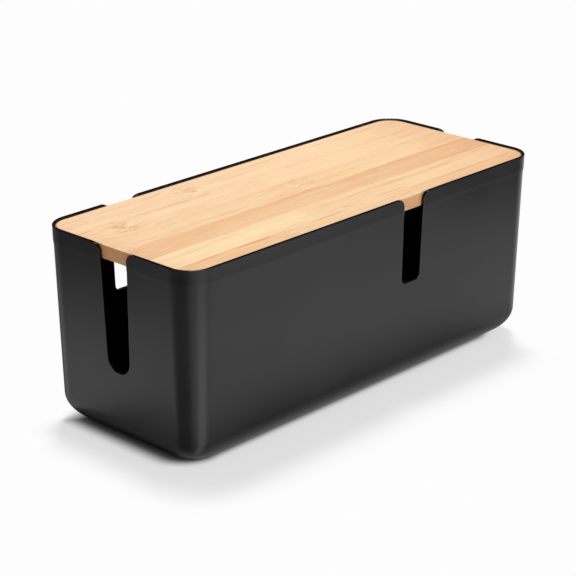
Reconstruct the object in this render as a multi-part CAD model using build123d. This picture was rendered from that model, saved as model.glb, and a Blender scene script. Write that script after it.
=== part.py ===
from build123d import *
import math
import os

# A cable tidy box: a moulded tub with four open cable slots, a drop-in lid glued up
# from bamboo strips, and four rubber feet. Millimetres, +Z up, +X along the tub.
# The origin is on the surface that the feet stand on, under the middle of the tub.
# The front is -Y and the left end is -X.

# Tub, outside, measured at the rim
tub_length = 320.0
tub_width = 129.0
tub_height = 126.5
rim_corner_radius = 18.0
base_edge_radius = 17.5
draft_angle = 1.55

# Tub, inside
wall_thickness = 2.9
base_thickness = 2.6
inside_corner_drop = 1.7  # the inside corners are this much tighter than the wall alone makes them
least_corner_radius = 1.0

# Rim band: the upper wall stands out a little all round and is thinner inside,
# which leaves a ledge that carries the lid
rim_thickness = 2.2
band_flare = 0.3
band_blend_height = 2.6
band_below_ledge = 0.2
rim_edge_radius = 0.6

# Lid
lid_thickness = 8.6
lid_below_rim = 0.9
lid_clearance = 0.3
lid_edge_radius = 0.8
strip_width = 21.2
front_strip_width = 12.7

# Cable slots on the long sides: one in the front, one in the back
side_slot_width = 18.6
side_slot_bottom = 68.7
side_slot_taper = 0.83
side_slot_corner_radius = 3.8
front_slot_x = 35.0
back_slot_x = -96.4

# Cable slots in the ends, one each
end_slot_width = 22.8
end_slot_bottom = 47.3
end_slot_taper = 1.7
end_slot_corner_radius = 8.6

# Slot widths are measured this far below the rim
slot_gauge_depth = 9.6
slot_mouth_radius = 5.6

# Feet
foot_radius = 7.0
foot_thickness = 2.3
foot_edge_radius = 0.5
foot_seat_depth = 0.8
foot_seat_clearance = 0.3
foot_inset = 14.0

# How finely the round base edge is followed, and how far cutters overrun
base_edge_steps = 10
overrun = 4.0

# Levels that follow
draft_slope = math.tan(math.radians(draft_angle))
tub_bottom = foot_thickness - foot_seat_depth
rim_level = tub_bottom + tub_height
lid_top = rim_level - lid_below_rim
ledge_level = lid_top - lid_thickness
flare_top = ledge_level - band_below_ledge
flare_bottom = flare_top - band_blend_height
edge_top = tub_bottom + base_edge_radius
floor_level = tub_bottom + base_thickness


def draft_inset(level):
    """How far the outer wall stands in from the rim's outline at a level."""
    return (rim_level - level) * draft_slope


def outline(level, inset, radius_drop):
    """A rounded rectangle at a level, set in from the rim's outline."""
    return Pos(0, 0, level) * RectangleRounded(
        tub_length - 2 * inset,
        tub_width - 2 * inset,
        max(rim_corner_radius - radius_drop, least_corner_radius),
    )


def base_edge_outlines(bottom, edge_radius, side_inset, corner_drop):
    """Outlines up a round base edge, of the tub or of its hollow, to edge_top.

    The side sweeps inward in a quarter circle while the plan corners keep their size.
    """
    side = draft_inset(edge_top) + side_inset
    outlines = []
    for step in range(base_edge_steps + 1):
        angle = math.radians(90 * step / base_edge_steps)
        level = bottom + edge_radius * (1 - math.cos(angle))
        inward = edge_radius * (1 - math.sin(angle))
        outlines.append(outline(level, side + inward, side + corner_drop))
    return outlines


def outer_body():
    """The tub as a solid block, with its base edge, flared band and rounded rim."""
    rounding = rim_edge_radius * (1 - math.sin(math.radians(45)))
    rim_bottom = rim_level - rim_edge_radius
    levels = [
        (flare_bottom, draft_inset(flare_bottom)),
        (flare_top, draft_inset(flare_top) - band_flare),
        (rim_bottom, draft_inset(rim_bottom) - band_flare),
        (rim_level - rounding, rounding - band_flare),
        (rim_level, rim_edge_radius - band_flare),
    ]
    upper = [outline(level, inset, inset) for level, inset in levels]
    return loft(base_edge_outlines(tub_bottom, base_edge_radius, 0, 0) + upper, ruled=True)


def recess_inset(level):
    """Inset of the lid's recess, which runs parallel to the flared band."""
    return draft_inset(level) - band_flare + rim_thickness


def inside_outline(level, inset):
    """An outline of the recess, of the hollow or of the lid, with its tighter corners."""
    return outline(level, inset, inset + inside_corner_drop)


def hollow():
    """The space inside the tub: a rounded floor, straight sides and the lid's recess."""
    edge_radius = edge_top - floor_level
    sides = base_edge_outlines(floor_level, edge_radius, wall_thickness, inside_corner_drop)
    sides.append(inside_outline(ledge_level, draft_inset(ledge_level) + wall_thickness))
    recess = [
        inside_outline(level, recess_inset(level)) for level in (ledge_level, rim_level + overrun)
    ]
    return loft(sides, ruled=True) + loft(recess, ruled=True)


def slot_profile(width, bottom, taper, corner_radius):
    """A slot seen square on: round lower corners, sides that open upward, a flared mouth."""
    slope = math.tan(math.radians(taper))
    base = tub_bottom + bottom
    low = width / 2 - (rim_level - slot_gauge_depth - base) * slope
    high = width / 2 + slot_gauge_depth * slope
    wide = high + 2 * slot_mouth_radius
    corners = [
        (-low, base), (low, base), (high, rim_level), (wide, rim_level),
        (wide, rim_level + overrun), (-wide, rim_level + overrun),
        (-wide, rim_level), (-high, rim_level),
    ]
    face = make_face(Polyline(*corners, close=True))
    lower_corners = face.vertices().filter_by(lambda v: abs(v.Y - base) < 0.01)
    face = fillet(lower_corners, min(corner_radius, 0.95 * low))
    mouth = face.vertices().filter_by(
        lambda v: abs(v.Y - rim_level) < 0.01 and abs(v.X) < high + 0.01
    )
    return fillet(mouth, slot_mouth_radius)


def slot_cutters():
    """The four cable slots as blocks that run through one wall each."""
    reach = overrun + draft_inset(tub_bottom) + wall_thickness + overrun
    side = slot_profile(side_slot_width, side_slot_bottom, side_slot_taper, side_slot_corner_radius)
    end = slot_profile(end_slot_width, end_slot_bottom, end_slot_taper, end_slot_corner_radius)
    places = [
        (side, front_slot_x, -tub_width / 2 - overrun, 180),
        (side, back_slot_x, tub_width / 2 + overrun, 0),
        (end, -tub_length / 2 - overrun, 0, 90),
        (end, tub_length / 2 + overrun, 0, 270),
    ]
    return [
        Pos(x, y, 0) * Rot(0, 0, turn) * Rot(90, 0, 0) * extrude(profile, reach)
        for profile, x, y, turn in places
    ]


def foot_places():
    """Where the feet stand, by name: near the corners of the flat underside."""
    flat_inset = draft_inset(edge_top) + base_edge_radius
    x = tub_length / 2 - flat_inset - foot_inset
    y = tub_width / 2 - flat_inset - foot_inset
    return {
        "foot_front_left": (-x, -y),
        "foot_front_right": (x, -y),
        "foot_back_left": (-x, y),
        "foot_back_right": (x, y),
    }


def make_tub():
    tub = outer_body() - hollow()
    for cutter in slot_cutters():
        tub -= cutter
    seat = Cylinder(
        foot_radius + foot_seat_clearance,
        foot_seat_depth + overrun,
        align=(Align.CENTER, Align.CENTER, Align.MAX),
    )
    for x, y in foot_places().values():
        tub -= Pos(x, y, tub_bottom + foot_seat_depth) * seat
    return tub


def make_foot(x, y):
    """A rubber pad, glued into its seat under the tub and rounded where it stands."""
    pad = Cylinder(foot_radius, foot_thickness, align=(Align.CENTER, Align.CENTER, Align.MIN))
    pad = fillet(pad.edges().sort_by(Axis.Z)[0], foot_edge_radius)
    return Pos(x, y, 0) * pad


def make_lid_strips():
    """The lid, sawn from one glued-up board, as its strips from front to back."""
    inset = recess_inset(ledge_level) + lid_clearance
    board = extrude(inside_outline(ledge_level, inset), lid_thickness)
    board = fillet(board.faces().sort_by(Axis.Z)[-1].edges(), lid_edge_radius)
    strips = {}
    back_edge = tub_width / 2 - inset
    front = -back_edge
    back = front + front_strip_width
    while front < back_edge:
        back = min(back, back_edge)
        slab = Pos(0, (front + back) / 2, lid_top) * Box(
            tub_length, back - front, 2 * lid_thickness + overrun
        )
        strips[f"lid_strip_{len(strips) + 1}"] = board & slab
        front = back
        back = front + strip_width
    return strips


nodes = {"tub": make_tub()}
nodes.update({name: make_foot(x, y) for name, (x, y) in foot_places().items()})
nodes.update(make_lid_strips())

os.makedirs("parts", exist_ok=True)
for name, shape in nodes.items():
    export_step(shape, f"parts/{name}.step")
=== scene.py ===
import math
import bmesh
import bpy
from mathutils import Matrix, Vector


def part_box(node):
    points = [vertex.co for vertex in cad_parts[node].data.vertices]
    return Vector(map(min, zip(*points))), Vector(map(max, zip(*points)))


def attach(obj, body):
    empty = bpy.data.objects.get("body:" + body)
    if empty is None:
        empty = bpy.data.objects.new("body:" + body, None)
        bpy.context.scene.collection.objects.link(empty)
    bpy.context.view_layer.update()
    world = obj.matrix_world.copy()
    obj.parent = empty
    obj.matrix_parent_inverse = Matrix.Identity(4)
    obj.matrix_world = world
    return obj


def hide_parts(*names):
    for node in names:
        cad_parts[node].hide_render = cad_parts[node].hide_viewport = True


# A cable tidy box: black moulded tub, bamboo lid board, rubber feet.
# Metres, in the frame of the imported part: the front is -Y and the left end is -X.

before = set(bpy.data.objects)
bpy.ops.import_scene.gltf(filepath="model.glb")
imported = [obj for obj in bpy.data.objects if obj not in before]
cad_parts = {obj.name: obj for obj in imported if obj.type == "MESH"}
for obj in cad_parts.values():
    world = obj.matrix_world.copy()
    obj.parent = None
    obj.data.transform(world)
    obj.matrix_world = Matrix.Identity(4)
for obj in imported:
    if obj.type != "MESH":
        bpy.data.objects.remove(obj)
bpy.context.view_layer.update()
mm = 0.001
tiny = 0.002 * mm  # closer than this counts as the same level
sharpAngle = math.radians(40)
facingAxis = 0.99  # a face whose normal is this near an axis looks along it
print("frame loaded,", len(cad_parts), "nodes")


def pickNone():
    bpy.ops.object.select_all(action="DESELECT")


def pickPiece(piece):
    pickNone()
    piece.select_set(True)
    bpy.context.view_layer.objects.active = piece


def openMesh(piece):
    pickPiece(piece)
    bpy.ops.object.mode_set(mode="EDIT")


def closeMesh():
    bpy.ops.object.mode_set(mode="OBJECT")


def pick(kind, wanted):  # in edit mode: selects the vertices, edges or faces that pass the test
    bpy.ops.mesh.select_mode(type=kind)
    bpy.ops.mesh.select_all(action="DESELECT")
    mesh = bmesh.from_edit_mesh(bpy.context.object.data)
    for part in {"VERT": mesh.verts, "EDGE": mesh.edges, "FACE": mesh.faces}[kind]:
        if wanted(part):
            part.select_set(True)
    bmesh.update_edit_mesh(bpy.context.object.data)


def atLevel(edge, level):
    return all(abs(v.co.z - level) < tiny for v in edge.verts)


def isSharp(edge):
    return edge.is_manifold and edge.calc_face_angle() > sharpAngle


def isLevel(face, level):
    return abs(face.normal.z) > facingAxis and abs(face.calc_center_median().z - level) < tiny


def startSheet(name, halfX, halfY, level, cornerRadius, cornerSteps):
    pickNone()
    bpy.ops.mesh.primitive_plane_add(size=2)  # a half size of 1, to be resized to the half sizes
    sheet = bpy.context.object
    sheet.name = name
    bpy.ops.object.mode_set(mode="EDIT")
    bpy.ops.transform.resize(value=(halfX, halfY, 1), center_override=(0, 0, 0))
    bpy.ops.transform.translate(value=(0, 0, level))
    bpy.ops.mesh.bevel(offset=cornerRadius, segments=cornerSteps, affect="VERTICES")
    pick("FACE", lambda face: True)
    return sheet


def smoothPiece(piece, angle=35):
    pickPiece(piece)
    bpy.ops.object.shade_smooth_by_angle(angle=math.radians(angle))
    weighted = piece.modifiers.new("weightedNormals", "WEIGHTED_NORMAL")
    weighted.keep_sharp = True
    bpy.ops.object.modifier_apply(modifier="weightedNormals")


def joinPieces(pieces):  # the first one takes the others in
    pickNone()
    for piece in pieces:
        piece.select_set(True)
    bpy.context.view_layer.objects.active = pieces[0]
    bpy.ops.object.join()
    return pieces[0]


def cutWith(piece, cutter):
    pickPiece(piece)
    cut = piece.modifiers.new("cut", "BOOLEAN")
    cut.operation = "DIFFERENCE"
    cut.solver = "EXACT"
    cut.object = cutter
    bpy.ops.object.modifier_apply(modifier="cut")
    bpy.data.objects.remove(cutter)


tub = dict(
    draft=math.radians(1.55), cornerRadius=18 * mm, cornerSteps=24,
    flare=0.3 * mm, bandHeight=9.7 * mm, bandBlend=2.6 * mm,
    baseEdge=17.5 * mm, baseEdgeSteps=16,
    wall=2.9 * mm, rimWall=2.2 * mm, floor=2.6 * mm, ledgeDepth=9.5 * mm,
    insideDrop=1.7 * mm,  # how much tighter the inside corners are
    edgeRound=0.5 * mm, roundSteps=4,
)
tubLow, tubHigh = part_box("tub")
rim = tubHigh.z
wallHalfX = tubHigh.x - tub["flare"]
wallHalfY = tubHigh.y - tub["flare"]


def draftInset(level):
    return (rim - level) * math.tan(tub["draft"])


def sinkShell(name, stages, edgeRadius, cornerDrop):
    # a rounded sheet is pushed down from the rim in stages, then its edge sweeps in to the bottom
    level, inset = stages[0]
    cornerRadius = tub["cornerRadius"] - inset - cornerDrop
    shell = startSheet(name, wallHalfX - inset, wallHalfY - inset, level, cornerRadius, tub["cornerSteps"])
    for nextLevel, nextInset in stages[1:]:
        bpy.ops.mesh.inset(thickness=nextInset - inset, depth=nextLevel - level)
        level, inset = nextLevel, nextInset
    stepAngle = math.pi / 2 / tub["baseEdgeSteps"]
    for step in range(tub["baseEdgeSteps"]):
        before = step * stepAngle
        after = before + stepAngle
        drop = edgeRadius * (math.sin(after) - math.sin(before))
        inward = edgeRadius * (math.cos(before) - math.cos(after))
        bpy.ops.mesh.extrude_region_move(TRANSFORM_OT_translate={"value": (0, 0, -drop)})
        level -= drop
        for side in (-1, 1):
            pick("VERT", lambda v: abs(v.co.z - level) < tiny and v.co.x * side > 0)
            bpy.ops.transform.translate(value=(-side * inward, 0, 0))
            pick("VERT", lambda v: abs(v.co.z - level) < tiny and v.co.y * side > 0)
            bpy.ops.transform.translate(value=(0, -side * inward, 0))
        pick("FACE", lambda f: isLevel(f, level))
    closeMesh()
    return shell


def makeShells():
    ledge = rim - tub["ledgeDepth"]
    flareTop = rim - tub["bandHeight"]
    flareBottom = flareTop - tub["bandBlend"]
    edgeTop = tubLow.z + tub["baseEdge"]
    outside = sinkShell("tubShell", [
        (rim, -tub["flare"]),
        (flareTop, draftInset(flareTop) - tub["flare"]),
        (flareBottom, draftInset(flareBottom)),
        (edgeTop, draftInset(edgeTop)),
    ], tub["baseEdge"], 0)
    recess = tub["rimWall"] - tub["flare"]
    inside = sinkShell("tubHollow", [
        (rim, recess),
        (ledge, draftInset(ledge) + recess),
        (ledge, draftInset(ledge) + tub["wall"]),
        (edgeTop, draftInset(edgeTop) + tub["wall"]),
    ], tub["baseEdge"] - tub["floor"], tub["insideDrop"])
    openMesh(outside)
    bpy.ops.mesh.select_all(action="SELECT")
    bpy.ops.mesh.flip_normals()
    closeMesh()
    shell = joinPieces([outside, inside])
    openMesh(shell)
    pick("EDGE", lambda e: e.is_boundary)
    bpy.ops.mesh.bridge_edge_loops()
    closeMesh()
    return shell


slots = dict(
    side=dict(width=18.6 * mm, bottom=68.7 * mm, taper=math.radians(0.83), corner=3.8 * mm, steps=12),
    end=dict(width=22.8 * mm, bottom=47.3 * mm, taper=math.radians(1.7), corner=8.6 * mm, steps=18),
    gauge=9.6 * mm, mouth=5.6 * mm, reach=16 * mm, over=4 * mm, overlap=2 * mm,
    frontX=35 * mm, backX=-96.4 * mm,
)


def slotCutter(slot, x, y, turn):  # the slot's outline is drawn as a sheet, then pulled through the wall
    slope = math.tan(slot["taper"])
    base = tubLow.z + slot["bottom"]
    lowHalf = slot["width"] / 2 - (rim - slots["gauge"] - base) * slope
    highHalf = slot["width"] / 2 + slots["gauge"] * slope
    pickNone()
    bpy.ops.mesh.primitive_plane_add(size=2, rotation=(math.pi / 2, 0, 0))
    bpy.ops.object.transform_apply(rotation=True)
    cutter = bpy.context.object
    bpy.ops.object.mode_set(mode="EDIT")
    bpy.ops.transform.resize(value=(lowHalf, 1, (rim - base) / 2), center_override=(0, 0, 0))
    bpy.ops.transform.translate(value=(0, -slots["reach"] / 2, (rim + base) / 2))
    pick("EDGE", lambda e: atLevel(e, rim))
    bpy.ops.transform.resize(value=(highHalf / lowHalf, 1, 1), center_override=(0, 0, rim))
    bpy.ops.mesh.extrude_region_move(TRANSFORM_OT_translate={"value": (0, 0, slots["over"])})
    for side in (-1, 1):
        pick("EDGE", lambda e: all(v.co.x * side > 0 and v.co.z > rim - tiny for v in e.verts))
        bpy.ops.mesh.extrude_region_move(TRANSFORM_OT_translate={"value": (side * slots["mouth"], 0, 0)})
    bpy.ops.mesh.select_all(action="SELECT")
    bpy.ops.mesh.dissolve_faces()
    pick("VERT", lambda v: v.co.z < base + tiny)
    reachAlong = slot["corner"] * math.tan(math.pi / 4 - slot["taper"] / 2)
    bpy.ops.mesh.bevel(offset=reachAlong, segments=slot["steps"], affect="VERTICES")
    pick("VERT", lambda v: abs(v.co.z - rim) < tiny and abs(v.co.x) < highHalf + tiny)
    bpy.ops.mesh.bevel(offset=slots["mouth"], segments=slot["steps"], affect="VERTICES")
    bpy.ops.mesh.select_all(action="SELECT")
    bpy.ops.mesh.remove_doubles(threshold=tiny)
    bpy.ops.mesh.extrude_region_move(TRANSFORM_OT_translate={"value": (0, slots["reach"], 0)})
    bpy.ops.mesh.select_all(action="SELECT")
    bpy.ops.mesh.normals_make_consistent(inside=False)
    bpy.ops.transform.rotate(value=turn, orient_axis="Z", center_override=(0, 0, 0))
    bpy.ops.transform.translate(value=(x, y, 0))
    closeMesh()
    return cutter


footNames = ["foot_front_left", "foot_front_right", "foot_back_left", "foot_back_right"]
foot = dict(seatRadius=7.3 * mm, seatDepth=0.8 * mm, steps=72, over=4 * mm)


def seatCutter(name):
    low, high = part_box(name)
    middle = (low + high) / 2
    depth = foot["seatDepth"] + foot["over"]
    pickNone()
    bpy.ops.mesh.primitive_cylinder_add(
        vertices=foot["steps"], radius=foot["seatRadius"], depth=depth,
        location=(middle.x, middle.y, tubLow.z + foot["seatDepth"] - depth / 2),
    )
    bpy.ops.object.transform_apply(location=True)
    return bpy.context.object


def roundEdges(piece, wanted, radius, steps):
    openMesh(piece)
    pick("EDGE", wanted)
    bpy.ops.mesh.bevel(offset=radius, segments=steps, affect="EDGES")
    closeMesh()


def makeTub():
    shell = makeShells()
    nearX = tubHigh.x - slots["overlap"]
    nearY = tubHigh.y - slots["overlap"]
    cutters = [
        slotCutter(slots["side"], slots["frontX"], -nearY, 0),
        slotCutter(slots["side"], slots["backX"], nearY, 0),
        slotCutter(slots["end"], -nearX, 0, math.pi / 2),
        slotCutter(slots["end"], nearX, 0, math.pi / 2),
    ]
    cutters += [seatCutter(name) for name in footNames]
    cutWith(shell, joinPieces(cutters))
    ledge = rim - tub["ledgeDepth"]
    baseTop = tubLow.z + tub["baseEdge"]
    roundEdges(
        shell, lambda e: isSharp(e) and not atLevel(e, ledge) and min(v.co.z for v in e.verts) > baseTop,
        tub["edgeRound"], tub["roundSteps"],
    )
    shell.name = "tub_shell"
    smoothPiece(shell)
    return shell


tubPiece = makeTub()
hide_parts("tub")
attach(tubPiece, "tub")
print("tub modelled,", len(tubPiece.data.polygons), "faces")


lid = dict(
    strips=7, topRound=0.45 * mm, bottomRound=0.3 * mm, roundSteps=4,
    jointGroove=0.05 * mm, grooveSteps=1,
)
stripNames = [f"lid_strip_{number}" for number in range(1, lid["strips"] + 1)]
# the middle strip is as long as the lid
lidLow = Vector((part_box(stripNames[3])[0].x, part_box(stripNames[0])[0].y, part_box(stripNames[3])[0].z))
lidHigh = Vector((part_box(stripNames[3])[1].x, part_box(stripNames[-1])[1].y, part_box(stripNames[3])[1].z))
lidCorner = tub["cornerRadius"] - tub["insideDrop"] - (wallHalfX - lidHigh.x)


def makeBoard():
    board = startSheet("board", lidHigh.x, lidHigh.y, lidLow.z, lidCorner, tub["cornerSteps"])
    bpy.ops.mesh.extrude_region_move(TRANSFORM_OT_translate={"value": (0, 0, lidHigh.z - lidLow.z)})
    bpy.ops.mesh.select_all(action="SELECT")
    bpy.ops.mesh.normals_make_consistent(inside=False)
    closeMesh()
    roundEdges(board, lambda e: isSharp(e) and atLevel(e, lidHigh.z), lid["topRound"], lid["roundSteps"])
    roundEdges(board, lambda e: isSharp(e) and atLevel(e, lidLow.z), lid["bottomRound"], lid["roundSteps"])
    return board


def sawStrip(board, name):
    front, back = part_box(name)[0].y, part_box(name)[1].y
    pickPiece(board)
    bpy.ops.object.duplicate()
    strip = bpy.context.object
    strip.name = name.replace("lid_strip", "bamboo_strip")
    cuts = [(y, side) for y, side in ((front, -1), (back, 1)) if abs(abs(y) - lidHigh.y) > tiny]
    for y, side in cuts:
        openMesh(strip)
        bpy.ops.mesh.select_all(action="SELECT")
        bpy.ops.mesh.bisect(plane_co=(0, y, 0), plane_no=(0, side, 0), use_fill=True, clear_outer=True)
        closeMesh()
    for y, side in cuts:
        roundEdges(
            strip, lambda e: atLevel(e, lidHigh.z) and all(abs(v.co.y - y) < tiny for v in e.verts),
            lid["jointGroove"], lid["grooveSteps"],
        )
    smoothPiece(strip)
    return strip


board = makeBoard()
stripPieces = []
for name in stripNames:
    strip = sawStrip(board, name)
    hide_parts(name)
    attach(strip, "lid")
    stripPieces.append(strip)
bpy.data.objects.remove(board)
print("lid sawn into", len(stripPieces), "strips")


foot.update(
    round=0.5 * mm, roundSteps=4, topRound=0.2 * mm, topSteps=2, smooth=50,
    treadWidth=1.5 * mm, dishWidth=0.6 * mm, dishDepth=0.25 * mm,
)


def makeFeet():
    low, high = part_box(footNames[0])
    middle = (low + high) / 2
    pickNone()
    bpy.ops.mesh.primitive_cylinder_add(
        vertices=foot["steps"], radius=(high.x - low.x) / 2, depth=high.z - low.z, location=middle,
    )
    bpy.ops.object.transform_apply(location=True)
    first = bpy.context.object
    roundEdges(first, lambda e: isSharp(e) and atLevel(e, low.z), foot["round"], foot["roundSteps"])
    roundEdges(first, lambda e: isSharp(e) and atLevel(e, high.z), foot["topRound"], foot["topSteps"])
    openMesh(first)
    pick("FACE", lambda f: f.normal.z < -facingAxis)
    bpy.ops.mesh.inset(thickness=foot["treadWidth"])
    bpy.ops.mesh.inset(thickness=foot["dishWidth"], depth=-foot["dishDepth"])
    closeMesh()
    smoothPiece(first, foot["smooth"])
    pieces = [first]
    for name in footNames[1:]:
        place = (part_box(name)[0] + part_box(name)[1]) / 2 - middle
        pickPiece(first)
        bpy.ops.object.duplicate()
        bpy.ops.transform.translate(value=place)
        bpy.ops.object.transform_apply(location=True)
        pieces.append(bpy.context.object)
    return pieces


footPieces = makeFeet()
for piece, name in zip(footPieces, footNames):
    piece.name = name.replace("foot", "rubber_foot")
    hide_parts(name)
    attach(piece, "tub")
print("feet modelled")


def newMaterial(name):
    material = bpy.data.materials.new(name)
    material.use_nodes = True
    material.node_tree.nodes.clear()
    return material, material.node_tree


def addNode(tree, kind, inputs=None, **settings):
    node = tree.nodes.new("ShaderNode" + kind)
    for key, value in settings.items():
        setattr(node, key, value)
    for key, value in (inputs or {}).items():
        if isinstance(value, bpy.types.NodeSocket):
            tree.links.new(value, node.inputs[key])
        else:
            node.inputs[key].default_value = value
    return node


def treeOf(*values):  # the node tree of the sockets among the values
    return next(value.id_data for value in values if isinstance(value, bpy.types.NodeSocket))


def maths(operation, *values):
    return addNode(treeOf(*values), "Math", dict(enumerate(values)), operation=operation).outputs[0]


def times(first, second):
    return maths("MULTIPLY", first, second)


def plus(first, second):
    return maths("ADD", first, second)


def less(first, second):
    return maths("SUBTRACT", first, second)


def either(first, second):  # the larger of the two
    return maths("MAXIMUM", first, second)


def absolute(value):
    return maths("ABSOLUTE", value)


def flat(first, second):  # a vector with nothing upward
    return addNode(treeOf(first, second), "CombineXYZ", {0: first, 1: second}).outputs[0]


def length(vector):
    return addNode(treeOf(vector), "VectorMath", {0: vector}, operation="LENGTH").outputs["Value"]


def ramp(value, low, high, toLow=0.0, toHigh=1.0):  # a soft step from low to high
    inputs = {"Value": value, "From Min": low, "From Max": high, "To Min": toLow, "To Max": toHigh}
    node = addNode(treeOf(value), "MapRange", inputs, interpolation_type="SMOOTHSTEP")
    return node.outputs["Result"]


def noise(vector, scale, detail, roughness, offset=(0, 0, 0)):
    # scale is in cells a metre along each axis
    tree = treeOf(vector)
    mapped = addNode(tree, "Mapping", {"Vector": vector, "Scale": scale, "Location": offset})
    inputs = {"Vector": mapped.outputs[0], "Scale": 1.0, "Detail": detail, "Roughness": roughness}
    return addNode(tree, "TexNoise", inputs).outputs["Fac"]


def evenNoise(vector, cells, detail, roughness):  # with cells of the same size along each axis
    return noise(vector, (cells,) * 3, detail, roughness)


def mixColour(factor, first, second, blend="MIX"):
    inputs = {0: factor, 6: first, 7: second}
    node = addNode(treeOf(factor, first), "Mix", inputs, data_type="RGBA", blend_type=blend)
    return node.outputs[2]


def stain(colour, amount, other):
    return mixColour(amount, colour, other)


def finishMaterial(tree, colour, roughness, height, bumpStrength, bumpDistance, **constants):
    bump = addNode(tree, "Bump", {"Height": height, "Strength": bumpStrength, "Distance": bumpDistance})
    inputs = {"Base Color": colour, "Roughness": roughness, "Normal": bump.outputs[0], **constants}
    shader = addNode(tree, "BsdfPrincipled", inputs)
    addNode(tree, "OutputMaterial", {"Surface": shader.outputs[0]})


def setMaterial(piece, material):
    piece.data.materials.clear()
    piece.data.materials.append(material)


noiseSpan = (0.3, 0.7)  # most of a noise lies in here

plastic = dict(
    dark=(0.008, 0.008, 0.009, 1), light=(0.013, 0.013, 0.015, 1), bandDark=(0.003, 0.003, 0.0035, 1),
    # painted shade in near black for slots, recess and rim top; painted highlight in pale grey for slot
    # edges
    paintedShade=(0.0008, 0.0008, 0.0008, 1), paintedEdgeHighlight=(0.07, 0.07, 0.072, 1),
    bandTop=8.3 * mm, bandBottom=9.9 * mm,  # how far below the rim
    bandShare=0.15,  # how much of the band's dark tone is left up at the rim
    roughness=(0.28, 0.36), bandRougher=0.06, cutRougher=-0.08, rimRougher=-0.12, specular=0.42,
    grain=(2600, 2, 0.6), speckle=(1040, 3, 0.7), cloud=(14, 3, 0.5),  # cells a metre, detail, roughness
    bump=0.25, bumpHeight=0.02 * mm, speckleHeight=0.8,
    # where each painted shade, painted highlight and finish starts and is full: depths are below the rim,
    # and a turn is how squarely a face looks into a slot or upward, from 0 to 1
    slotLevel=40 * mm, cutTurn=(0.7, 0.85), edgeTurn=(0.2, 0.35), edgeEnd=(0.55, 0.7),
    sillTurn=(0.5, 0.8), sillDepth=12 * mm, mouthTurn=(0.25, 0.45), mouthDepth=(6 * mm, 0.55 * mm),
    rimTurn=(0.8, 0.95), rimDepth=(0.25 * mm, 0.1 * mm), smoothDepth=(0.3 * mm, 0.6 * mm),
    innerDepth=3 * mm,
)


def makePlastic():
    material, tree = newMaterial("matt_black_plastic")
    coords = addNode(tree, "TexCoord")
    place = coords.outputs["Object"]
    along, across, level = addNode(tree, "SeparateXYZ", {0: place}).outputs
    facing = addNode(tree, "SeparateXYZ", {0: coords.outputs["Normal"]}).outputs
    kinds = ("cloud", "grain", "speckle")
    cloud, grain, speckle = (evenNoise(place, *plastic[kind]) for kind in kinds)

    def within(value, limit):
        return maths("LESS_THAN", absolute(value), limit)

    def above(height):
        return maths("GREATER_THAN", level, height)

    def under(height):
        return maths("LESS_THAN", level, height)

    def upward(low, high):
        return ramp(facing["Z"], low, high)

    def sideways(low, high):  # faces that look into a slot, from the rounded edge inward
        lookX, lookY = (absolute(facing[axis]) for axis in "XY")
        onSides = times(ramp(lookX, low, high), within(along, wallHalfX - tub["cornerRadius"]))
        onEnds = times(ramp(lookY, low, high), within(across, wallHalfY - tub["cornerRadius"]))
        return times(either(onSides, onEnds), above(plastic["slotLevel"]))

    # painted shade: the faces of the slots and of the recess, sunk in shade, are painted near black
    sill = times(upward(*plastic["sillTurn"]), above(plastic["slotLevel"]))
    sill = times(sill, under(rim - plastic["sillDepth"]))
    mouthLow, mouthHigh = (rim - depth for depth in plastic["mouthDepth"])
    mouth = times(upward(*plastic["mouthTurn"]), times(above(mouthLow), under(mouthHigh)))
    outward = plus(times(facing["X"], along), times(facing["Y"], across))
    inner = times(maths("LESS_THAN", outward, 0), above(rim - plastic["innerDepth"]))
    cut = either(either(sideways(*plastic["cutTurn"]), inner), either(sill, mouth))
    # painted highlight: the rounded edges of the slots are painted paler, as if catching the light
    edge = less(sideways(*plastic["edgeTurn"]), sideways(*plastic["edgeEnd"]))

    # the band, and the rounded rim on top of it, whose top is painted near black as shade
    band = ramp(level, rim - plastic["bandBottom"], rim - plastic["bandTop"])
    darker = times(band, ramp(level, rim, rim - plastic["bandTop"], plastic["bandShare"], 1))
    onRim = ramp(level, *(rim - depth for depth in plastic["rimDepth"]))
    onRim = times(onRim, upward(*plastic["rimTurn"]))
    bandFace = times(band, less(1.0, onRim))
    belowRim = ramp(level, *(rim - depth for depth in plastic["smoothDepth"]))

    colour = mixColour(ramp(cloud, *noiseSpan), plastic["dark"], plastic["light"])
    colour = mixColour(darker, colour, plastic["bandDark"])
    # painted highlight on the rounded slot edges
    colour = mixColour(edge, colour, plastic["paintedEdgeHighlight"])
    # painted shade: slot and recess faces and the rim top are mixed to near black
    colour = mixColour(either(cut, onRim), colour, plastic["paintedShade"])
    mottle = maths("MULTIPLY_ADD", speckle, 0.5, times(cloud, 0.5))
    rough = ramp(mottle, *noiseSpan, *plastic["roughness"])
    for mask, change in ((bandFace, "bandRougher"), (cut, "cutRougher"), (onRim, "rimRougher")):
        rough = maths("MULTIPLY_ADD", mask, plastic[change], rough)
    height = times(maths("MULTIPLY_ADD", speckle, plastic["speckleHeight"], grain), belowRim)
    gloss = {"Specular IOR Level": plastic["specular"]}
    finishMaterial(tree, colour, rough, height, plastic["bump"], plastic["bumpHeight"], **gloss)
    return material


rubber = dict(
    dark=(0.014, 0.014, 0.014, 1), light=(0.03, 0.03, 0.031, 1), roughness=(0.7, 0.88),
    grain=(3200, 3, 0.7), cloud=(160, 3, 0.5),  # cells a metre, detail, roughness
    bump=0.4, bumpHeight=0.03 * mm,
)


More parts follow.
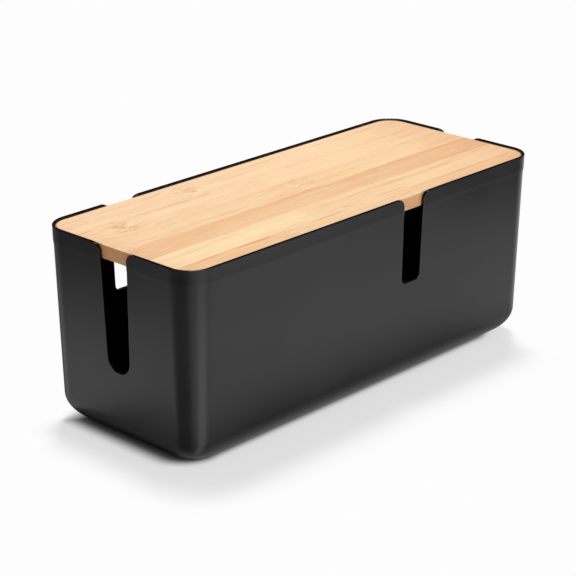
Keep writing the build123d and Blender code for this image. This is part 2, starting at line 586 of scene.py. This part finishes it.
def makeRubber():
    material, tree = newMaterial("black_rubber")
    place = addNode(tree, "TexCoord").outputs["Object"]
    cloud, grain = (evenNoise(place, *rubber[kind]) for kind in ("cloud", "grain"))
    colour = mixColour(cloud, rubber["dark"], rubber["light"])
    rough = ramp(grain, *noiseSpan, *rubber["roughness"])
    finishMaterial(tree, colour, rough, grain, rubber["bump"], rubber["bumpHeight"])
    return material


plasticMaterial = makePlastic()
rubberMaterial = makeRubber()
setMaterial(tubPiece, plasticMaterial)
for piece in footPieces:
    setMaterial(piece, rubberMaterial)
print("plastic and rubber made")

bamboo = dict(
    tan=(0.825, 0.515, 0.27), warm=(0.866, 0.587, 0.338), mid=(0.914, 0.645, 0.408),
    pale=(0.915, 0.685, 0.415), dark=(0.835, 0.52, 0.29), deep=(0.755, 0.435, 0.22),
    ruddy=(1.0, 0.95, 0.92), golden=(1.01, 1.02, 0.97), cream=(0.96, 0.80, 0.58, 1),
    brown=(0.62, 0.27, 0.09, 1), umber=(0.58, 0.20, 0.045, 1),
    shift=(3.17, 7.71, 1.37),  # from strip to strip, so that each has its own grain
    waver=2.2 * mm, bulge=0.5,  # how far the grain wanders, and how far it parts round a node
    nodeLength=11 * mm, nodeWidth=1.05,  # half sizes, the width as a share of the strip
    nodeReach=(24.2 * mm, 4.4 * mm), curl=3 * mm,  # where the grain begins to part and has parted
    nodeTan=0.55, strokeBrown=0.52, strokeCream=0.5, strokeHeight=3,
    lineWidth=(1.05 * mm, 0.21 * mm), lineDark=0.52, lineSoft=6, patchSoft=10,
    endTint=(0.93, 0.87, 0.83),
    farEnd=(105 * mm, 160 * mm), nearEnd=(-140 * mm, -158 * mm), nearShare=0.45,
    broadAmount=0.30, brownAmount=0.21, creamAmount=0.30, thinAmount=0.42, fibreAmount=0.08,
    fleckAmount=0.5,
    # the rounded edge, with a painted highlight and the gap's painted shade: from and to, in from the edge
    topDepth=(0.5 * mm, 0.2 * mm), paintedHighlight=(1.2 * mm, 0.6 * mm), highlightAmount=0.25,
    gapShade=(1.4 * mm, 0.5 * mm), gapAmount=0.6, gapDark=(0.16, 0.075, 0.025, 1),
    endSlotHalf=12 * mm, sideSlotHalf=10 * mm, slotSoft=(-2 * mm, 3 * mm), slotReach=(6 * mm, 10 * mm),
    # tints: painted shade for the long edges, and for the sawn ends painted shade together with end grain
    sideShadeTint=(0.90, 0.77, 0.67), sawnShadeAndGrainTint=(0.80, 0.60, 0.47), sideTurn=(0.5, 0.75),
    bundles=1000, bundleAmount=0.3, layerAmount=0.55,  # fibre bundles a metre in the sawn ends
    roughness=(0.46, 0.6), sawnRougher=0.2, bump=0.5, bumpHeight=0.08 * mm, grainHeight=0.5,
    grains=dict(  # length and width of the cells in mm, detail and roughness
        wander=(75, 26, 2, 0.55), broad=(110, 7, 2, 0.55), drift=(90, 4.5, 2, 0.55),
        streak=(55, 2.1, 4, 0.6), thin=(32, 0.8, 3, 0.6), fibre=(11, 0.26, 2, 0.55),
        fleck=(9, 0.7, 1, 0.55), fleckPatch=(26, 7, 1, 0.55), ragged=(30, 3, 2, 0.55),
        breaks=(26, 9, 3, 0.6), nodeEdge=(7, 2, 2, 0.55), curl=(8, 6, 2, 0.55),
        stroke=(8, 0.9, 2, 0.5), layers=(4, 0.7, 3, 0.6),
    ),
    steps=dict(  # where each mark starts in its noise and is full
        tone=(0.38, 0.62), drift=(0.5, 0.72), cream=(0.48, 0.3), brown=(0.5, 0.7), thin=(0.54, 0.68),
        thinPatch=(0.4, 0.6, 0.4, 1.0), fibre=(0.45, 0.75), fleck=(0.63, 0.71), fleckPatch=(0.53, 0.64),
        node=(1.1, 0.65), darkStroke=(0.5, 0.6), paleStroke=(0.48, 0.4), breaks=(0.38, 0.6, 0.2, 1.0),
        bundles=(0.45, 0.15), layers=(0.42, 0.6), gloss=(0.35, 0.65),
    ),
)
stripLooks = {
    # in millimetres: nodes are (place along the strip, strength), patches are (from, to, tone, strength)
    # and lines are (from, to, place across the board, strength)
    "bamboo_strip_1": dict(
        slot="bamboo_tan", tone="warm", grain=1.0, nodes=[(-64, 0.5)],
        patches=[(-175, -66, "tan", 0.9), (20, 175, "tan", 0.5), (95, 175, "tan", 0.6)],
        lines=[(-148, -76, -50.0, 1.5), (-150, -82, -51.6, 0.7), (-38, -18, -50.8, 1.0),
               (-64, 44, -49.8, 0.35), (48, 146, -51.0, 1.0)],
    ),
    "bamboo_strip_2": dict(
        slot="bamboo_pale", tone="pale", grain=0.7, nodes=[], patches=[(-36, 175, "warm", 0.8)],
        lines=[(-10, 46, -46.6, 0.9), (-30, 122, -34.7, 0.7), (40, 75, -33.2, 0.5), (-66, -40, -47, 0.4)],
    ),
    "bamboo_strip_3": dict(
        slot="bamboo_dark", tone="dark", grain=1.0, nodes=[(66, 0.3)],
        patches=[(-175, -150, "deep", 0.4), (28, 175, "deep", 0.45)],
        lines=[(-106, -88, -15.5, 0.8), (-86, -74, -9.4, 0.8), (-30, 8, -8.2, 0.8), (55, 156, -8.4, 1.0),
               (60, 74, -27.0, 1.0), (92, 156, -26.9, 0.9)],
    ),
    "bamboo_strip_4": dict(
        slot="bamboo_mid", tone="warm", grain=0.8, nodes=[(5, 0.75)],
        patches=[(-150, -22, "mid", 0.6), (58, 122, "mid", 0.5)],
        lines=[(-142, -52, -1.3, 0.9), (-70, 15, 10.2, 0.4), (14, 38, 0.2, 0.6), (80, 140, -5.6, 0.5)],
    ),
    "bamboo_strip_5": dict(
        slot="bamboo_mid", tone="mid", grain=0.8, nodes=[(-128, 1.0)],
        patches=[(-175, -108, "tan", 0.3), (84, 175, "warm", 0.6)],
        lines=[(-160, -48, 33.6, 1.1), (-50, 10, 34.4, 0.4), (18, 142, 34.3, 0.8), (-160, -62, 15.8, 0.7),
               (108, 152, 15.4, 0.9), (120, 152, 24.5, 0.7)],
    ),
    "bamboo_strip_6": dict(
        slot="bamboo_mid", tone="mid", grain=0.8, nodes=[(-55, 0.8)], patches=[(84, 175, "warm", 0.5)],
        lines=[(-160, -60, 54.6, 0.8), (-152, -54, 46.0, 0.45), (-32, -6, 50.6, 0.6),
               (-10, 132, 54.6, 0.8)],
    ),
    "bamboo_strip_7": dict(slot="bamboo_mid", tone="mid", grain=0.8, nodes=[], patches=[], lines=[]),
}


def opaque(colour):
    return tuple(colour) + (1,)


def tint(colour, factor):
    return opaque(c * f for c, f in zip(colour, factor))


def makeBamboo(name, look, number, low, high):
    material, tree = newMaterial(name + "_wood")
    coords = addNode(tree, "TexCoord")
    place = coords.outputs["Object"]
    along, across, upward = addNode(tree, "SeparateXYZ", {0: place}).outputs
    shift = tuple(number * part for part in bamboo["shift"])
    middle = (low.y + high.y) / 2
    half = (high.y - low.y) / 2

    def away(value, spot):
        return absolute(less(value, spot))

    def grain(vector, kind):
        long, wide, detail, roughness = bamboo["grains"][kind]
        scale = (1000 / long, 1000 / wide, 1000 / wide)
        return noise(vector, scale, detail, roughness, shift)

    def swing(vector, kind):  # the same, to either side of nothing
        return less(grain(vector, kind), 0.5)

    def step(value, kind):
        return ramp(value, *bamboo["steps"][kind])

    ragged = swing(place, "ragged")

    def between(start, end, soft):  # 1 from start to end along the strip, in mm, with uneven ends
        uneven = plus(along, times(ragged, 2 * soft * mm))
        begun = ramp(uneven, (start - soft) * mm, (start + soft) * mm)
        return times(begun, ramp(uneven, (end + soft) * mm, (end - soft) * mm))

    # the grain wanders a little and parts round the nodes
    flow = plus(across, times(swing(place, "wander"), bamboo["waver"]))
    offCentre = less(across, middle)
    knots = None
    for spot, strength in look["nodes"]:
        near = ramp(away(along, spot * mm), *bamboo["nodeReach"])
        flow = less(flow, times(times(offCentre, near), bamboo["bulge"] * strength))
        outward = length(flat(
            times(less(along, spot * mm), 1 / bamboo["nodeLength"]),
            times(offCentre, 1 / (half * bamboo["nodeWidth"])),
        ))
        outward = plus(outward, swing(place, "nodeEdge"))
        knots = times(step(outward, "node"), strength)
    flowing = addNode(tree, "CombineXYZ", {0: along, 1: flow, 2: upward}).outputs[0]

    broad = grain(flowing, "broad")
    streak = grain(flowing, "streak")
    fibre = grain(flowing, "fibre")

    def tone(name):
        warm, cool = tint(bamboo[name], bamboo["ruddy"]), tint(bamboo[name], bamboo["golden"])
        return mixColour(step(broad, "tone"), cool, warm)

    colour = tone(look["tone"])
    for start, end, other, strength in look["patches"]:
        colour = stain(colour, times(between(start, end, bamboo["patchSoft"]), strength), tone(other))
    nearEnd = times(ramp(along, *bamboo["nearEnd"]), bamboo["nearShare"])
    ends = either(ramp(along, *bamboo["farEnd"]), nearEnd)
    colour = mixColour(ends, colour, opaque(bamboo["endTint"]), "MULTIPLY")
    drift = step(grain(flowing, "drift"), "drift")
    colour = stain(colour, times(drift, bamboo["broadAmount"]), opaque(bamboo["tan"]))
    colour = stain(colour, times(step(streak, "cream"), bamboo["creamAmount"]), bamboo["cream"])
    colour = stain(colour, times(step(streak, "brown"), bamboo["brownAmount"]), bamboo["brown"])
    threads = times(step(grain(flowing, "thin"), "thin"), step(broad, "thinPatch"))
    colour = stain(colour, times(threads, bamboo["thinAmount"] * look["grain"]), bamboo["brown"])
    colour = stain(colour, times(step(fibre, "fibre"), bamboo["fibreAmount"]), bamboo["brown"])
    flecks = times(step(grain(flowing, "fleck"), "fleck"), step(grain(place, "fleckPatch"), "fleckPatch"))
    colour = stain(colour, times(flecks, bamboo["fleckAmount"] * look["grain"]), bamboo["brown"])

    # the nodes: a browner spot with short strokes that curl round it, dark and pale
    relief = less(fibre, threads)
    if knots:
        curled = plus(flow, times(grain(place, "curl"), bamboo["curl"]))
        stroke = grain(flat(along, curled), "stroke")
        darkStroke = times(knots, step(stroke, "darkStroke"))
        paleStroke = times(knots, step(stroke, "paleStroke"))
        colour = stain(colour, times(knots, bamboo["nodeTan"]), opaque(bamboo["tan"]))
        colour = stain(colour, times(darkStroke, bamboo["strokeBrown"]), bamboo["brown"])
        colour = stain(colour, times(paleStroke, bamboo["strokeCream"]), bamboo["cream"])
        relief = plus(relief, times(less(paleStroke, darkStroke), bamboo["strokeHeight"]))

    # dark lines in the grain and at the glue
    broken = step(grain(place, "breaks"), "breaks")
    for start, end, spot, strength in look["lines"]:
        line = times(ramp(away(flow, spot * mm), *bamboo["lineWidth"]), broken)
        line = times(line, between(start, end, bamboo["lineSoft"]))
        colour = stain(colour, times(line, bamboo["lineDark"] * strength), bamboo["umber"])

    # painted highlight: the rounded edge is painted paler, as it catches the light
    sideReach = either(less(away(along, 0), lidHigh.x - lidCorner), 0)
    endReach = either(less(away(across, 0), lidHigh.y - lidCorner), 0)
    inward = less(lidCorner, length(flat(sideReach, endReach)))
    onTop = ramp(upward, *(lidHigh.z - depth for depth in bamboo["topDepth"]))
    paintedHighlight = times(ramp(inward, *bamboo["paintedHighlight"]), onTop)
    colour = stain(colour, times(paintedHighlight, bamboo["highlightAmount"]), bamboo["cream"])

    def clearOf(near, spot, slotHalf, edge):  # 0 where a slot leaves the edge of the board open
        besideSlot = ramp(away(near, spot), *(slotHalf + soft for soft in bamboo["slotSoft"]))
        return either(besideSlot, ramp(edge, *bamboo["slotReach"]))

    # and the gap to the tub shades it, but not at the slots
    shaded = times(ramp(inward, *bamboo["gapShade"]), onTop)
    endEdge = less(lidHigh.x, away(along, 0))
    frontEdge = plus(across, lidHigh.y)
    backEdge = less(lidHigh.y, across)
    shaded = times(shaded, clearOf(across, 0, bamboo["endSlotHalf"], endEdge))
    shaded = times(shaded, clearOf(along, slots["frontX"], bamboo["sideSlotHalf"], frontEdge))
    shaded = times(shaded, clearOf(along, slots["backX"], bamboo["sideSlotHalf"], backEdge))
    colour = stain(colour, times(shaded, bamboo["gapAmount"]), bamboo["gapDark"])

    # painted shade: the long edges are tinted darker than the top, as they get less light
    facing = addNode(tree, "SeparateXYZ", {0: coords.outputs["Normal"]}).outputs
    onSide, onEnd = (ramp(absolute(facing[axis]), *bamboo["sideTurn"]) for axis in "YX")
    colour = mixColour(onSide, colour, opaque(bamboo["sideShadeTint"]), "MULTIPLY")
    # the sawn ends show the fibre bundles end on, on a tint darker as painted shade and as end grain
    bundles = addNode(tree, "TexVoronoi", {"Vector": place, "Scale": bamboo["bundles"]})
    bundles = times(step(bundles.outputs["Distance"], "bundles"), bamboo["bundleAmount"])
    layers = times(step(grain(flat(across, upward), "layers"), "layers"), bamboo["layerAmount"])
    sawn = tint(bamboo[look["tone"]], bamboo["sawnShadeAndGrainTint"])
    sawn = stain(sawn, plus(bundles, layers), bamboo["brown"])
    colour = stain(colour, onEnd, sawn)

    mottle = plus(times(fibre, 0.5), times(streak, 0.5))
    rough = ramp(mottle, *bamboo["steps"]["gloss"], *bamboo["roughness"])
    rough = plus(rough, times(onEnd, bamboo["sawnRougher"]))
    relief = times(relief, bamboo["grainHeight"])
    finishMaterial(tree, colour, rough, relief, bamboo["bump"], bamboo["bumpHeight"])
    return material


for number, piece in enumerate(stripPieces, 1):
    look = stripLooks[piece.name]
    low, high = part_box(stripNames[number - 1])
    setMaterial(piece, makeBamboo(piece.name, look, number, low, high))
print("bamboo made")


studio = dict(
    floorSize=12.0, paper=(0.86, 0.86, 0.86, 1), white=(0.985, 0.985, 0.985, 1),
    fill=0.3,  # the light from all round
    ceiling=0.03, horizon=(0.02, 0.12),  # gloss sees a bright backdrop that fades to this, and where
    # what follows is in millimetres on the floor and in degrees
    # the flat underside: half sizes without its round corners, and their radius
    footHalf=(124.5, 29), footRound=15,
    leastReach=0.1,  # keeps the share of left and front from being nothing divided by nothing
    # painted shadow: the paper is painted darker right under the edge
    contactShadow=0.15, contactOut=(1, 14),  # how dark the paper is right under the edge, and how far out
    sideLift=0.655,  # how much of the shadow beside the box is lightened
    frontStart=1.3, frontSoft=9, leftStart=8.2, leftSoft=14,  # where that begins, out from the underside
    frontWhite=(28, 112), leftWhite=(17, 66),  # where the floor turns plain white
    # it does so sooner towards the back and on the right, and at once behind the box
    whiteSides=[(("Y", 0, 45), (20, 55)), (("X", 120, 152), (12, 40))], beyond=("Y", 46, 66),
    # what looks bright in gloss, as painted reflection: the floor behind and close in front,
    # and a lane out from the near corner that glows
    behind=(("Y", -100, 300), ("X", -150, 50), 1.0), nearGlow=(50, 10, 0, 0.36), nearShare=(0.9, 0.3),
    corner=(-150, -55), laneTurn=(-20, 26), laneEnd=(305, 250), lane=1.1,
    # and what looks dark in it: parts of the floor by their turn round the near corner, by how far out
    # they are, or by the two soft steps that bound them
    turnSoft=8, cornerTurn=(48, 126), cornerGloom=0.76,
    leftGloom=(26, 8, 0, 0.9), leftShare=(0.3, 0.9), frontFoot=(20, 100, 1, 0), footShare=(0.5, 0.1),
    footGloom=0.5, backWay=(-0.8, 0.6), backGloom=(220, 440, 0, 0.8),
    right=(("X", 90, 190), ("Y", -75, -140), 0.2),
    farRight=(("X", 285, 355), ("Y", -150, -280), 1.0),
    farFront=(("Y", -220, -265), ("X", 320, 220), 0.25),
    farLeft=(("Y", 200, 290), ("X", -290, -330), 1.0),
    dimSide=(-46, -34), dimEnd=(40, 20), dimAmount=0.75,  # the part of the backdrop that is dim in gloss
)


def makeFloor():
    pickNone()
    bpy.ops.mesh.primitive_plane_add(size=studio["floorSize"])
    floor = bpy.context.object
    floor.name = "studio_floor"
    material, tree = newMaterial("studio_paper")
    place = addNode(tree, "TexCoord").outputs["Object"]
    along = addNode(tree, "SeparateXYZ", {0: place}).outputs
    path = addNode(tree, "LightPath")
    inGloss = path.outputs["Is Glossy Ray"]

    def across(axis, low, high):  # a soft step along the floor
        return ramp(along[axis], low * mm, high * mm)

    def region(first, second, strength):
        return times(times(across(*first), across(*second)), strength)

    # how far out from the underside a spot is, and how much it is to the left and not in front
    halfX, halfY = studio["footHalf"]
    outward = either(less(absolute(along["X"]), halfX * mm), 0)
    leftward = either(less(-halfX * mm, along["X"]), 0)
    frontward = either(less(-halfY * mm, along["Y"]), 0)
    reach = less(length(flat(outward, frontward)), studio["footRound"] * mm)
    total = plus(plus(leftward, frontward), studio["leastReach"] * mm)
    share = maths("DIVIDE", leftward, total)

    def out(low, high, toLow=0.0, toHigh=1.0):  # a soft step out from the underside
        return ramp(reach, low * mm, high * mm, toLow, toHigh)

    def frontToLeft(front, left):
        return ramp(share, 0, 1, front * mm, left * mm)

    start = frontToLeft(studio["frontStart"], studio["leftStart"])
    soft = frontToLeft(studio["frontSoft"], studio["leftSoft"])
    beside = ramp(reach, start, plus(start, soft))
    whiteFrom, whiteTo = (frontToLeft(*ends) for ends in zip(studio["frontWhite"], studio["leftWhite"]))
    far = ramp(reach, whiteFrom, whiteTo)
    for side, outFrom in studio["whiteSides"]:
        far = either(far, times(across(*side), out(*outFrom)))
    lift = ramp(far, 0, 1, studio["sideLift"], 1)
    clear = either(times(beside, lift), across(*studio["beyond"]))
    nearby = times(times(beside, out(*studio["nearGlow"])), ramp(share, *studio["nearShare"]))
    mirrored = times(inGloss, either(region(*studio["behind"]), nearby))
    direct = either(path.outputs["Is Camera Ray"], path.outputs["Is Transmission Ray"])
    shown = either(times(clear, direct), mirrored)

    cornerX, cornerY = studio["corner"]
    toLeft = less(cornerX * mm, along["X"])
    toFront = less(cornerY * mm, along["Y"])
    turn = maths("ARCTAN2", toLeft, toFront)  # round the near corner, 0 to the front

    def sector(low, high):
        low, high, soft = math.radians(low), math.radians(high), math.radians(studio["turnSoft"])
        return times(ramp(turn, low, low + soft), ramp(turn, high, high - soft))

    backX, backY = studio["backWay"]
    backward = plus(times(along["X"], backX), times(along["Y"], backY))
    backFrom, backTo, *backDark = studio["backGloom"]
    foot = times(out(*studio["frontFoot"]), ramp(share, *studio["footShare"]))
    glooms = [
        ramp(backward, backFrom * mm, backTo * mm, *backDark),
        times(sector(*studio["cornerTurn"]), studio["cornerGloom"]),
        plus(region(*studio["right"]), region(*studio["farRight"])),
        region(*studio["farFront"]),
        region(*studio["farLeft"]),
        times(out(*studio["leftGloom"]), ramp(share, *studio["leftShare"])),
        times(foot, studio["footGloom"]),
    ]
    gloom = glooms[0]
    for other in glooms[1:]:
        gloom = either(gloom, other)
    # painted shadow: the paper darkens right under the edge, and in gloss the dark parts of the floor are
    # painted in
    shade = out(*studio["contactOut"], 1 - studio["contactShadow"], 0)
    shade = either(shade, times(gloom, inGloss))
    tone = mixColour(shade, studio["paper"], (0, 0, 0, 1))
    # painted reflection: a lane of floor glows, seen only in gloss, to give the near corner its highlight
    laneEnd = ramp(length(flat(toLeft, toFront)), *(end * mm for end in studio["laneEnd"]))
    laneGlow = times(times(sector(*studio["laneTurn"]), inGloss), times(laneEnd, studio["lane"]))

    lit = addNode(tree, "BsdfDiffuse", {"Color": tone})
    glow = addNode(tree, "Emission", {"Color": studio["white"], "Strength": laneGlow})
    lit = addNode(tree, "AddShader", {0: lit.outputs[0], 1: glow.outputs[0]})
    plain = addNode(tree, "Emission", {"Color": studio["white"], "Strength": 1.0})
    paper = addNode(tree, "MixShader", {0: shown, 1: lit.outputs[0], 2: plain.outputs[0]})
    below = addNode(tree, "NewGeometry").outputs["Backfacing"]
    clearBelow = addNode(tree, "BsdfTransparent")
    surface = addNode(tree, "MixShader", {0: below, 1: paper.outputs[0], 2: clearBelow.outputs[0]})
    addNode(tree, "OutputMaterial", {"Surface": surface.outputs[0]})
    setMaterial(floor, material)


def makeWorld():
    world = bpy.data.worlds.new("studio")
    bpy.context.scene.world = world
    world.use_nodes = True
    tree = world.node_tree
    tree.nodes.clear()
    path = addNode(tree, "LightPath")
    way = addNode(tree, "TexCoord").outputs["Object"]
    toRight, toBack, upward = addNode(tree, "SeparateXYZ", {0: way}).outputs
    turn = maths("ARCTAN2", toBack, toRight)

    def turnStep(ends, strength=1.0):
        low, high = (math.radians(end) for end in ends)
        return ramp(turn, low, high, 0, strength)

    side = times(turnStep(studio["dimSide"], studio["dimAmount"]), turnStep(studio["dimEnd"]))
    backdrop = ramp(upward, *studio["horizon"], 1.0, studio["ceiling"])
    backdrop = times(backdrop, less(1, side))
    mirrored = times(path.outputs["Is Glossy Ray"], backdrop)
    seen = either(path.outputs["Is Camera Ray"], path.outputs["Is Transmission Ray"])
    seen = either(seen, mirrored)
    fill = times(path.outputs["Is Diffuse Ray"], studio["fill"])
    light = either(seen, fill)
    sky = addNode(tree, "Background", {"Color": studio["white"], "Strength": light})
    addNode(tree, "OutputWorld", {"Surface": sky.outputs[0]})


lamps = {
    "back_softbox": dict(place=(0.83, 0.6, 3.0), size=(0.6, 0.6), power=80),
    "front_softbox": dict(place=(0.0, -1.25, 0.5), size=(0.6, 0.9), power=5),
}


def makeLamps():
    aim = Vector((0, 0, rim / 2))
    for name, lamp in lamps.items():
        pickNone()
        bpy.ops.object.light_add(type="AREA", location=lamp["place"])
        light = bpy.context.object
        light.name = name
        light.data.shape = "RECTANGLE"
        light.data.size, light.data.size_y = lamp["size"]
        light.data.energy = lamp["power"]
        light.visible_camera = False
        light.rotation_euler = (aim - light.location).to_track_quat("-Z", "Y").to_euler()


view = dict(
    azimuth=math.radians(-46.67), elevation=math.radians(21.06), distance=1.2637,
    target=(-0.01182, 0.0, 0.06205), lens=123.24,
)


def makeCamera():
    outward = math.cos(view["elevation"])
    back = Vector((
        math.sin(view["azimuth"]) * outward, -math.cos(view["azimuth"]) * outward,
        math.sin(view["elevation"]),
    ))
    pickNone()
    bpy.ops.object.camera_add(location=Vector(view["target"]) + back * view["distance"])
    camera = bpy.context.object
    camera.data.lens = view["lens"]
    camera.rotation_euler = (-back).to_track_quat("-Z", "Y").to_euler()
    bpy.context.scene.camera = camera


makeFloor()
makeWorld()
makeLamps()
makeCamera()
bpy.context.scene.view_settings.view_transform = "Standard"
print("studio set up")
